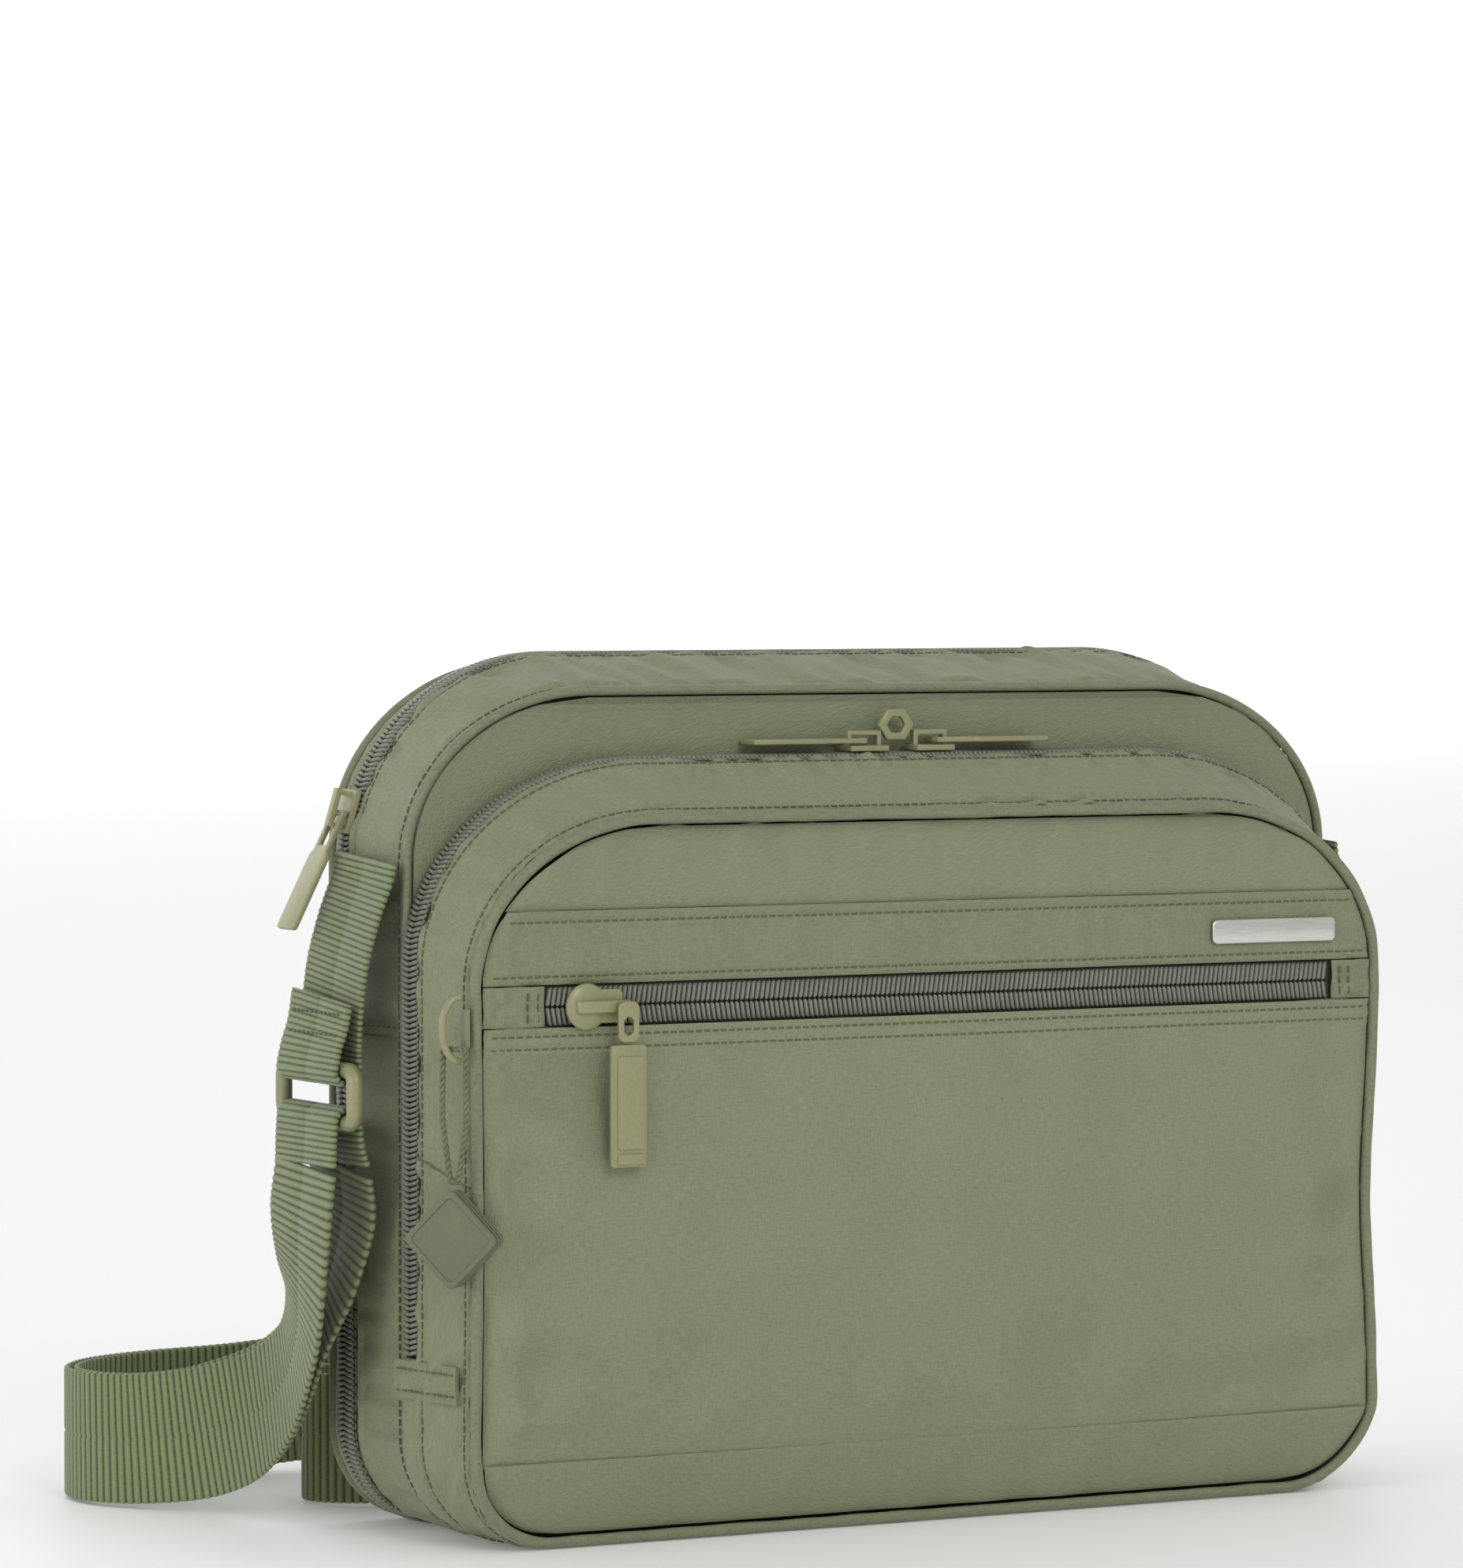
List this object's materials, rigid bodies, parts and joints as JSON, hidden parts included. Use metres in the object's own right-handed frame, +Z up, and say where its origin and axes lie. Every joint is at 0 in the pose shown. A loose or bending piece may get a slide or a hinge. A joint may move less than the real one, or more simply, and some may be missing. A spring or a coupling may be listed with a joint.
{
  "type": "crossbody bag",
  "caption": "Small two-compartment crossbody bag with rounded corners, a zipped front pocket, ring-mounted webbing strap and a hanging charm.",
  "frame": {"origin": "on the surface the bag stands on, below the middle of its box, measured without the strap and its adjuster", "axes": "+X to the viewer's right as seen from the front, +Y from front to back, +Z up"},
  "size_m": [0.2981, 0.1695, 0.197],
  "materials": {
    "fabric": "matt woven nylon",
    "trim": "matt binding and piping",
    "lining": "plain lining",
    "coil": "satin coil zip",
    "webbing": "ribbed webbing",
    "hardware": "satin paint",
    "steel": "brushed",
    "charm": "soft moulded",
    "board": "stiff board"
  },
  "bodies": {
    "bag": {"front_zip_rear_coil": "coil", "front_base_gusset": "fabric", "front_base_piping": "trim", "front_base_strip": "fabric", "lower_front_panel": "fabric", "zip_end_patch_left": "trim", "zip_end_patch_right": "trim", "middle_panel": "fabric", "middle_piping": "trim", "main_upper_gusset": "fabric", "main_lower_gusset": "fabric", "main_zip_front_coil": "coil", "expansion_zip": "coil", "rear_lower_rim": "fabric", "rear_lower_piping": "trim", "rear_panel": "fabric", "main_lining": "lining", "organiser_pocket": "lining", "base_board": "board", "left_tab": "webbing", "right_tab": "webbing", "strap": "webbing", "strap_return": "webbing", "adjuster": "hardware"},
    "front_lid": {"front_gusset": "fabric", "front_zip_front_coil": "coil", "front_piping": "trim", "upper_front_panel": "fabric", "badge_band": "trim", "badge_plate": "steel", "pocket_panel": "fabric", "pocket_backing": "lining", "pocket_zip_upper_coil": "coil", "pocket_zip_lower_coil": "coil", "zip_tab_left": "trim", "zip_tab_right": "trim", "charm_loop": "trim", "charm_ring": "hardware"},
    "rear_flap": {"main_zip_rear_coil": "coil", "rear_upper_rim": "fabric", "rear_upper_piping": "trim", "rear_flap_panel": "fabric"},
    "front_slider_left": {"front_slider_left": "hardware", "lock_eye": "hardware"},
    "front_slider_right": {"front_slider_right": "hardware"},
    "front_pull_left": {"front_pull_left": "hardware"},
    "front_pull_right": {"front_pull_right": "hardware"},
    "main_slider": {"main_slider": "hardware"},
    "main_pull": {"main_pull": "hardware"},
    "pocket_slider": {"pocket_slider": "hardware"},
    "pocket_pull_link": {"pocket_pull_link": "hardware"},
    "pocket_pull": {"pocket_pull": "hardware"},
    "left_ring": {"left_ring": "hardware", "left_strap_loop": "webbing"},
    "right_ring": {"right_ring": "hardware", "right_strap_loop": "webbing"},
    "charm_cord": {"charm_cord": "charm"},
    "charm_tag": {"charm_tag": "charm"}
  },
  "joints": [
    {"name": "front_fold", "type": "hinge", "parent": "bag", "child": "front_lid", "pos_m": [0, -0.036, 0.042], "axis": [1, 0, 0], "range_deg": [0, 88]},
    {"name": "rear_fold", "type": "hinge", "parent": "bag", "child": "rear_flap", "pos_m": [0, 0.0378, 0.151], "axis": [-1, 0, 0], "range_deg": [0, 65]},
    {"name": "front_slider_left_travel", "type": "slide", "parent": "bag", "child": "front_slider_left", "axis": [-1, 0, 0], "range_m": [0, 0.052]},
    {"name": "front_slider_right_travel", "type": "slide", "parent": "bag", "child": "front_slider_right", "axis": [1, 0, 0], "range_m": [0, 0.05]},
    {"name": "front_pull_left_lift", "type": "hinge", "parent": "front_slider_left", "child": "front_pull_left", "pos_m": [-0.0084, -0.0071, 0.1769], "axis": [0, 1, 0], "range_deg": [0, 105]},
    {"name": "front_pull_right_lift", "type": "hinge", "parent": "front_slider_right", "child": "front_pull_right", "pos_m": [0.0114, -0.0071, 0.1769], "axis": [0, -1, 0], "range_deg": [0, 105]},
    {"name": "main_slider_travel", "type": "hinge", "parent": "bag", "child": "main_slider", "pos_m": [-0.0722, 0.0275, 0.147], "axis": [0, 1, 0], "range_deg": [0, 73]},
    {"name": "main_pull_lift", "type": "hinge", "parent": "main_slider", "child": "main_pull", "pos_m": [-0.12312, 0.0275, 0.16135], "axis": [0, 1, 0], "range_deg": [-8, 95]},
    {"name": "pocket_slider_travel", "type": "slide", "parent": "front_lid", "child": "pocket_slider", "axis": [1, 0, 0], "range_m": [0, 0.186]},
    {"name": "pocket_pull_swing", "type": "hinge", "parent": "pocket_slider", "child": "pocket_pull_link", "pos_m": [-0.0834, -0.036, 0.1201], "axis": [0, 1, 0], "range_deg": [-75, 75]},
    {"name": "pocket_pull_lift", "type": "hinge", "parent": "pocket_pull_link", "child": "pocket_pull", "pos_m": [-0.0834, -0.036, 0.1113], "axis": [-1, 0, 0], "range_deg": [0, 85]},
    {"name": "left_ring_swing", "type": "hinge", "parent": "bag", "child": "left_ring", "pos_m": [-0.134, 0.0154, 0.1053], "axis": [0, 1, 0], "range_deg": [-6, 105], "deforming": ["strap", "strap_return"]},
    {"name": "right_ring_swing", "type": "hinge", "parent": "bag", "child": "right_ring", "pos_m": [0.134, 0.0154, 0.1053], "axis": [0, -1, 0], "range_deg": [-6, 105], "deforming": ["strap"]},
    {"name": "charm_swing", "type": "hinge", "parent": "front_lid", "child": "charm_cord", "pos_m": [-0.1234, -0.0304, 0.109], "axis": [-1, 0, 0], "range_deg": [0, 85]},
    {"name": "charm_turn", "type": "hinge", "parent": "charm_cord", "child": "charm_tag", "pos_m": [-0.1234, -0.0304, 0.0821], "axis": [0, 1, 0], "range_deg": [0, 35]}
  ]
}
